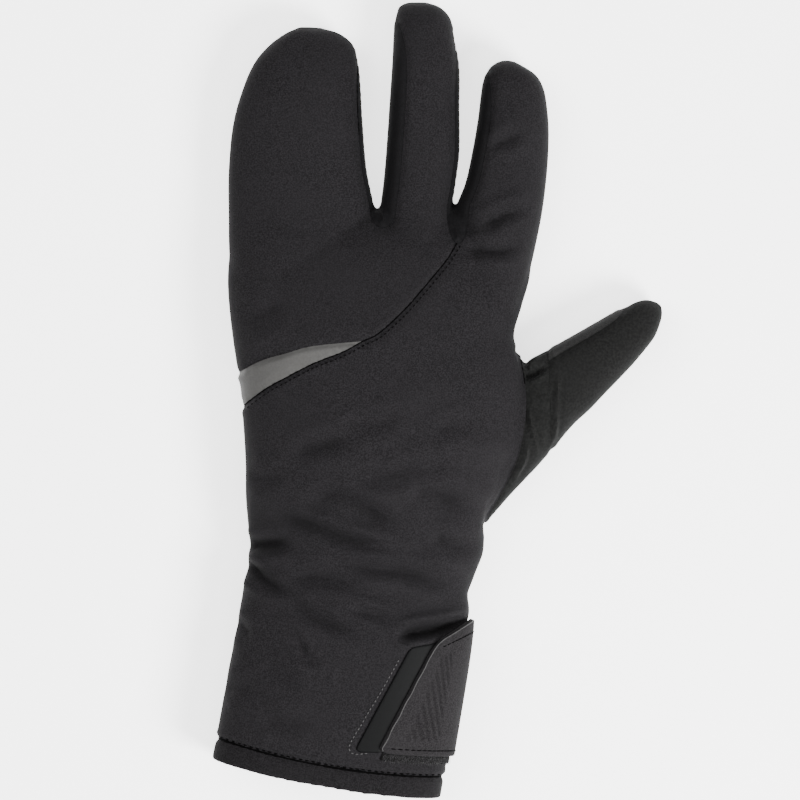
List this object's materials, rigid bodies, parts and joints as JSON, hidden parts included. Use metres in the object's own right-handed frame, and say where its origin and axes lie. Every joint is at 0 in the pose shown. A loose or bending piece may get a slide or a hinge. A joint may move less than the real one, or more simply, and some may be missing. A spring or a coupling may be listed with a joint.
{
  "type": "lobster claw mitt",
  "caption": "Left-hand padded winter cycling glove: ring and little finger share one wide finger, with a suede palm and thumb, a long cuff and a closing strap.",
  "frame": {"origin": "on the surface the mitt lies on, under the middle of the palm, at the centre of its flat palm face", "axes": "+Y to the fingertips, +X to the thumb's side, +Z out of the back of the hand"},
  "size_m": [0.1714, 0.3026, 0.037],
  "materials": {
    "softshell": "black softshell, fine tight weave with a soft nap, dull sheen",
    "strip_cloth": "thin black stretch cloth, dull",
    "suede": "black synthetic suede, short matt nap",
    "reflective": "grey reflective cloth, satin",
    "hem_cloth": "black folded hem, fine weave",
    "strap_cloth": "charcoal coated strap cloth with moulded ribs, dull",
    "smooth_tape": "smooth black coated tape, low gloss",
    "loop_pile": "black loop pile"
  },
  "bodies": {
    "root": {"back_upper_panel": "softshell", "back_lower_panel": "softshell", "reflective_wedge": "reflective", "fourchette_ring_middle": "strip_cloth", "fourchette_middle_index": "strip_cloth", "palm_panel": "suede", "thumb": "suede", "thumb_fourchette": "strip_cloth", "cuff_palm_panel": "softshell", "cuff_hem": "hem_cloth", "cuff_strap": "strap_cloth", "strap_underlay": "smooth_tape", "loop_patch": "loop_pile"}
  },
  "joints": []
}
